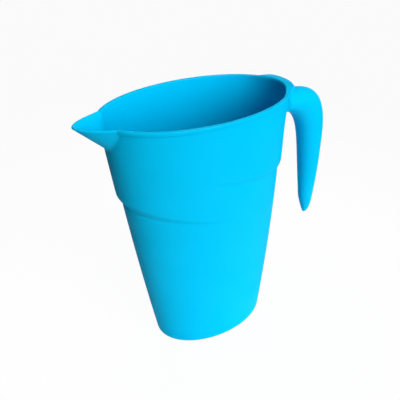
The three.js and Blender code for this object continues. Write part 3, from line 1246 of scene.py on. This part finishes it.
@dataclass
class HandleSaddle(JugPart):
    """Root of the handle on the wall, with the thumb tab that rises a little over the rim.

    Under the tab the inside of the wall swells inwards. Beside the handle the tab's skirt runs out
    along the lip.
    """

    node: ClassVar[str] = "handle_saddle"

    handle: HandleRule
    tab_reach: float = 3.7 * MM
    tab_width: float = 28 * MM
    tab_fade: float = 9 * MM
    tab_rise: float = 1.3 * MM
    tab_inward: float = 1.3 * MM
    swell_height: float = 14 * MM
    climb_start: float = 0.7 * MM
    climb_share: float = 0.12
    tab_edge: float = 1.5 * MM
    edge_share: float = 0.35
    skirt_width: float = 54 * MM
    skirt_cover: float = 0.3 * MM
    skirt_turn: float = 0.6
    root_foot: float = 2 * MM
    fillet_start: float = 0.13
    sink: float = 0.05 * MM
    lift: float = 0.02 * MM
    outline_fineness: int = 4
    fillet_steps: int = 20
    edge_steps: int = 8
    swell_steps: int = 10
    back_steps: int = 6

    def _tab_share(self, y: np.ndarray) -> np.ndarray:
        """Share of the tab's reach and rise at each place along Y: all at the handle, none beside it."""
        return 1 - smoothstep((np.abs(y) - self.tab_width / 2) / self.tab_fade)

    def _beside(self, y: np.ndarray) -> np.ndarray:
        """How far each place along Y lies beside the tab: 0 at the handle, 1 at the skirt's ends."""
        half = self.tab_width / 2
        return smoothstep((np.abs(y) - half) / (self.skirt_width / 2 - half))

    def _tab_outline(self) -> np.ndarray:
        """Outer edge of the tab in plan, from its near end on the lip to its far end.

        The tab follows the lip. Beside the handle it runs out along it and covers it less and less.

        Returns:
            Points in plan, evenly spaced.
        """
        shell = self.shell
        steps = self.handle.half_turns
        y = self.skirt_width / 2 * np.linspace(-1, 1, self.outline_fineness * steps + 1)
        share = self._tab_share(y)
        cover = self.skirt_cover * (2 * share - 1)
        lip = shell.face_at(y, np.full_like(y, shell.height), -shell.lip_proud - cover, Side.HANDLE)
        whole = np.column_stack([lip[:, 0] + self.tab_reach * share, y])
        lengths = np.concatenate([[0], np.cumsum(np.linalg.norm(np.diff(whole, axis=0), axis=1))])
        even = np.linspace(0, lengths[-1], steps + 1)
        return np.column_stack([np.interp(even, lengths, whole[:, i]) for i in range(2)])

    def _inside(self, outline: np.ndarray) -> np.ndarray:
        """Rows up the inside of the wall, which swells inwards under the tab.

        Args:
            outline: Outer edge of the tab in plan.

        Returns:
            Rows of points beside the outline, from the wall's own face to the tab's inner edge.
        """
        shell = self.shell
        y = outline[:, 1]
        rows = []
        for k in np.linspace(0, 1, self.swell_steps + 1):
            z = np.full_like(y, shell.height - self.climb_start - self.swell_height * (1 - k))
            inset = shell.wall - self.lift + self.tab_inward * (1 - self._beside(y)) * k ** 2
            rows.append(shell.face_at(y, z, inset, Side.HANDLE))
        return np.array(rows)

    def _edge_rounds(self, outline: np.ndarray) -> np.ndarray:
        """Rounding of the tab's edge at each point of its outline, smaller where the tab is narrow."""
        width = np.linalg.norm(self._inside(outline)[-1, :, :2] - outline, axis=1)
        return np.minimum(self.tab_edge, self.edge_share * width)

    def _tab(self, outline: np.ndarray, rounds: np.ndarray, crest: np.ndarray) -> np.ndarray:
        """Rows of the tab: up its inside, in a round to its top, level, and round its outer edge.

        Args:
            outline: Outer edge of the tab in plan.
            rounds: Rounding of that edge at each point.
            crest: Height of the tab at each point.

        Returns:
            Points, rows by places on the outline by 3.
        """
        inside = self._inside(outline)
        start = inside[-1]
        inward = start[:, :2] - outline
        inward /= np.linalg.norm(inward, axis=1, keepdims=True)
        edge = []
        for turn in np.linspace(QUARTER, 0, self.edge_steps + 1):
            plan = outline + inward * rounds[:, None] * (1 - math.cos(turn))
            z = crest - rounds + (rounds + self.lift) * math.sin(turn)
            edge.append(np.column_stack([plan, z]))
        climb = np.linspace(0, QUARTER, self.edge_steps + 1)
        along = np.concatenate([self.climb_share * (1 - np.cos(climb)), [(1 + self.climb_share) / 2]])
        upward = np.concatenate([np.sin(climb), [1.0]])
        top = [start + (edge[0] - start) * np.array([k, k, h]) for k, h in zip(along, upward)]
        return np.concatenate([inside[:-1], np.array(top), np.array(edge)])

    def _foot(self, outline: np.ndarray, rounds: np.ndarray) -> np.ndarray:
        """Line on the wall where the root's soft flanks run out, from the tab's far end to its near.

        Args:
            outline: Outer edge of the tab in plan.
            rounds: Rounding of that edge at each point.

        Returns:
            Points of the line.
        """
        shell = self.shell
        handle = self.handle
        top = shell.height - rounds[-1]
        turn = np.linspace(0, math.pi, handle.half_turns + 1)
        skirt = 1 - smoothstep(np.sin(turn) / self.skirt_turn)
        y = (handle.root_width / 2 + self.root_foot) * np.cos(turn)
        z = handle.root_middle - (handle.root_depth / 2 + self.root_foot) * np.sin(turn)
        y += (outline[-1, 1] * np.sign(np.cos(turn)) - y) * skirt
        z += (top - z) * skirt
        foot = shell.face_at(y, z, self.sink, Side.HANDLE)
        on_lip = smoothstep((z - shell.wall_top) / (top - shell.wall_top))
        foot[:, 0] += (outline[-1, 0] - foot[0, 0]) * on_lip
        return foot

    def _root(self, turn: np.ndarray) -> np.ndarray:
        """Points where the bare handle would meet the wall, round its section.

        Args:
            turn: Places round the section.

        Returns:
            Points on the wall.
        """
        handle = self.handle
        y = -handle.root_width / 2 * np.sin(turn)
        z = handle.root_middle + handle.root_depth / 2 * np.cos(turn)
        return self.shell.face_at(y, z, 0.0, Side.HANDLE)

    def _fillet(self, start: np.ndarray, end: np.ndarray, turn: np.ndarray) -> np.ndarray:
        """Soft root between the tab or the wall and the handle.

        Under the tab it falls straight and then turns out. Beside it, it leaves the wall at a tangent.

        Args:
            start: Points on the tab's edge, then on the wall.
            end: Points on the handle.
            turn: Places round the handle's section.

        Returns:
            Rows of points, from the start to just before the end.
        """
        shell = self.shell
        root = self._root(turn)
        proud = start - shell.face_at(start[:, 1], start[:, 2], 0.0, Side.HANDLE)
        beside = self._beside(start[:, 1])
        beside[self.handle.half_turns:] = 1
        corner = np.column_stack([start[:, 0], root[:, 1], root[:, 2]])
        rows = []
        for k in np.linspace(0, 1, self.fillet_steps + 1)[:-1]:
            place = root + (start - root) * (1 - k) ** 2
            wallwise = shell.face_at(place[:, 1], place[:, 2], 0.0, Side.HANDLE)
            wallwise = wallwise + proud * (1 - k) ** 2 + (end - root) * k ** 2
            falling = bend(start, corner, end, k)
            rows.append(falling + (wallwise - falling) * beside[:, None])
        return np.array(rows)

    def _back(self, bottom: np.ndarray, foot: np.ndarray) -> np.ndarray:
        """Rows inside the wall's thickness, which only close the piece.

        Args:
            bottom: Lowest row of the tab's inside, from its far end to its near.
            foot: Line where the root's flanks run out.

        Returns:
            Points, rows by places on the foot by 3.
        """
        rows = [bottom + (foot - bottom) * k for k in np.linspace(0, 1, self.back_steps + 1)]
        for i in range(1, self.back_steps):
            rows[i] = self.shell.face_at(rows[i][:, 1], rows[i][:, 2], self.shell.wall / 2, Side.HANDLE)
        return np.array(rows)

    def skin(self) -> bpy.types.Object:
        """Makes the saddle: the soft root, the tab and the hidden back in the wall.

        Returns:
            The bare piece.
        """
        handle = self.handle
        outline = self._tab_outline()
        rounds = self._edge_rounds(outline)
        crest = self.shell.height + self.tab_rise * self._tab_share(outline[:, 1])
        rim = np.column_stack([outline, crest - rounds])
        foot = self._foot(outline, rounds)
        start = np.concatenate([rim[:-1], foot[:-1]])
        places = np.array([self.fillet_start, handle.seam, 2 * handle.seam - self.fillet_start])
        stations = handle.sections(places)
        patch = np.concatenate([self._fillet(start, stations[0], handle.turns()), stations])
        tab = self._tab(outline, rounds, crest)
        skin = Skin()
        skin.grid(patch, wrap=True, margin=(0, 1))
        skin.cap(patch[-2])
        skin.grid(tab)
        skin.grid(self._back(tab[0, ::-1], foot), flip=True)
        return skin.piece(self.piece_name)


@dataclass
class HandleGrip(JugPart):
    """Hook of the handle from the saddle to its free tip."""

    node: ClassVar[str] = "handle_grip"

    handle: HandleRule
    shoulder_steps: int = 34
    grip_steps: int = 40
    tip_steps: int = 16

    def skin(self) -> bpy.types.Object:
        """Makes the hook as one loft that closes at the tip.

        Returns:
            The bare piece.
        """
        seam = self.handle.seam
        step = (1 - seam) / self.shoulder_steps
        shoulder = np.linspace(seam - step, 1, self.shoulder_steps + 2)
        grip = np.linspace(1, 2, self.grip_steps + 1)[1:]
        tip = 2 + np.sin(np.linspace(0, QUARTER, self.tip_steps + 1))[1:]
        sections = self.handle.sections(np.concatenate([shoulder, grip, tip]))
        skin = Skin()
        skin.grid(sections, wrap=True, margin=(1, 0))
        skin.cap(sections[1], flip=True)
        return skin.piece(self.piece_name)


@dataclass(frozen=True)
class WhiteCard:
    """White card under the jug: matt, with a glow that makes it look nearly white to the camera.

    Away from the jug the card darkens, so that it lights the wall's foot more than its top.
    """

    near: float = 0.8
    far: float = 0.05
    fade: tuple[float, float] = (0.15, 0.6)
    glow: float = 0.955

    def build(self) -> bpy.types.Material:
        """Makes the material.

        Returns:
            The material.
        """
        material = bpy.data.materials.new("white_card")
        tree = empty_tree(material)
        place = add_node(tree, "ShaderNodeTexCoord").outputs["Object"]
        reach = add_node(tree, "ShaderNodeVectorMath", {"operation": "LENGTH"}, {0: place})
        grey = add_node(tree, "ShaderNodeMapRange", {"interpolation_type": "SMOOTHSTEP"}, {
            "Value": reach.outputs["Value"],
            "From Min": self.fade[0],
            "From Max": self.fade[1],
            "To Min": self.near,
            "To Max": self.far,
        })
        path = add_node(tree, "ShaderNodeLightPath").outputs
        glow = add_node(tree, "ShaderNodeMath", {"operation": "MULTIPLY"}, {
            0: path["Is Camera Ray"],
            1: self.glow,
        })
        card = add_node(tree, "ShaderNodeBsdfDiffuse", inputs={"Color": grey.outputs["Result"]})
        white = add_node(tree, "ShaderNodeEmission", inputs={"Strength": 1.0})
        both = add_node(tree, "ShaderNodeMixShader", inputs={
            0: glow.outputs["Value"],
            1: card.outputs["BSDF"],
            2: white.outputs["Emission"],
        })
        add_node(tree, "ShaderNodeOutputMaterial", inputs={"Surface": both.outputs["Shader"]})
        return material


@dataclass(frozen=True)
class Lamp:
    """A large soft lamp far away.

    Its azimuth and elevation, in degrees from +X and from the horizon, say where its light comes from.
    Its strength is the light on a surface that faces it, its spread is how wide it looks, in degrees,
    and a mirrored lamp also shows in the gloss.
    """

    name: str
    azimuth: float
    elevation: float
    strength: float
    spread: float
    mirrored: bool

    def build(self) -> None:
        """Makes the lamp."""
        lamp = bpy.data.lights.new(self.name, "SUN")
        lamp.energy = self.strength
        lamp.angle = math.radians(self.spread)
        lamp_object = add_object(self.name, lamp)
        way = direction(self.azimuth, self.elevation)
        lamp_object.rotation_euler = way.to_track_quat("Z", "Y").to_euler()
        lamp_object.visible_glossy = self.mirrored


@dataclass
class Studio:
    """Pale floor, soft lamps and the camera.

    The camera's azimuth is 0 in front of the jug, at -Y, with the spout on its left.
    """

    aim: tuple[float, float, float] = (-2.74 * MM, 13.05 * MM, 129.78 * MM)
    distance: float = 440.06 * MM
    azimuth: float = -29.77
    elevation: float = 34.0
    front: float = -90.0
    focal_px: float = 500.0
    image_px: float = 400.0
    clip_start: float = 10 * MM
    lamps: tuple[Lamp, ...] = (
        Lamp("key_light", azimuth=-77.0, elevation=23.0, strength=4.1, spread=56.0, mirrored=True),
        Lamp("top_light", azimuth=0.0, elevation=90.0, strength=0.9, spread=60.0, mirrored=True),
        Lamp("back_light", azimuth=60.0, elevation=6.0, strength=1.4, spread=30.0, mirrored=True),
        Lamp("back_fill", azimuth=50.0, elevation=20.0, strength=1.2, spread=60.0, mirrored=False),
    )
    room_light: float = 0.01
    room_gloss: float = 0.2
    floor_size: float = 8.0
    card: WhiteCard = WhiteCard()

    def _room(self) -> None:
        """Sets a world that is white where it is seen or mirrored, and a weak light otherwise."""
        world = bpy.data.worlds.new("white_room")
        bpy.context.scene.world = world
        tree = empty_tree(world)
        path = add_node(tree, "ShaderNodeLightPath").outputs
        mirrored = add_node(tree, "ShaderNodeMath", {"operation": "MULTIPLY"}, {
            0: path["Is Glossy Ray"],
            1: self.room_gloss,
        })
        seen = add_node(tree, "ShaderNodeMath", {"operation": "MAXIMUM"}, {
            0: path["Is Camera Ray"],
            1: mirrored.outputs["Value"],
        })
        shown = add_node(tree, "ShaderNodeMath", {"operation": "MAXIMUM"}, {
            0: seen.outputs["Value"],
            1: path["Is Transmission Ray"],
        })
        light = add_node(tree, "ShaderNodeBackground", inputs={
            "Color": WHITE,
            "Strength": self.room_light,
        })
        white = add_node(tree, "ShaderNodeBackground", inputs={"Color": WHITE, "Strength": 1.0})
        both = add_node(tree, "ShaderNodeMixShader", inputs={
            0: shown.outputs["Value"],
            1: light.outputs["Background"],
            2: white.outputs["Background"],
        })
        add_node(tree, "ShaderNodeOutputWorld", inputs={"Surface": both.outputs["Shader"]})

    def _floor(self) -> bpy.types.Object:
        """Makes the floor under the jug, which keeps a soft shadow.

        Returns:
            The floor.
        """
        half = self.floor_size / 2
        mesh = bpy.data.meshes.new("floor")
        corners = [(-half, -half, 0), (half, -half, 0), (half, half, 0), (-half, half, 0)]
        mesh.from_pydata(corners, [], [(0, 1, 2, 3)])
        mesh.materials.append(self.card.build())
        return add_object("floor", mesh)

    def _camera(self) -> None:
        """Sets the camera at the photograph's place and lens."""
        lens = bpy.data.cameras.new("camera")
        lens.sensor_fit = "HORIZONTAL"
        lens.angle = 2 * math.atan(self.image_px / 2 / self.focal_px)
        lens.clip_start = self.clip_start
        camera = add_object("camera", lens)
        way = direction(self.front + self.azimuth, self.elevation)
        camera.location = Vector(self.aim) + way * self.distance
        camera.rotation_euler = way.to_track_quat("Z", "Y").to_euler()
        bpy.context.scene.camera = camera

    def build(self) -> None:
        """Sets up room, floor, lamps, camera and the plain view transform."""
        self._room()
        self._floor()
        for lamp in self.lamps:
            lamp.build()
        self._camera()
        bpy.context.scene.view_settings.view_transform = "Standard"


def main() -> None:
    """Builds the studio and every piece of the jug."""
    logging.basicConfig(level=logging.INFO, format="%(name)s: %(message)s")
    Studio().build()
    shell = OvalShell()
    spout = SpoutRule(shell)
    handle = HandleRule(shell)
    plastic = MouldedPolypropylene().build()
    parts: list[JugPart] = [
        BaseTray(shell, plastic),
        BodyWall(shell, plastic, spout),
        RimLip(shell, plastic, spout),
        PouringSpout(shell, plastic, spout),
        HandleSaddle(shell, plastic, handle),
        HandleGrip(shell, plastic, handle),
    ]
    for part in parts:
        part.build()


if __name__ == "__main__":
    main()
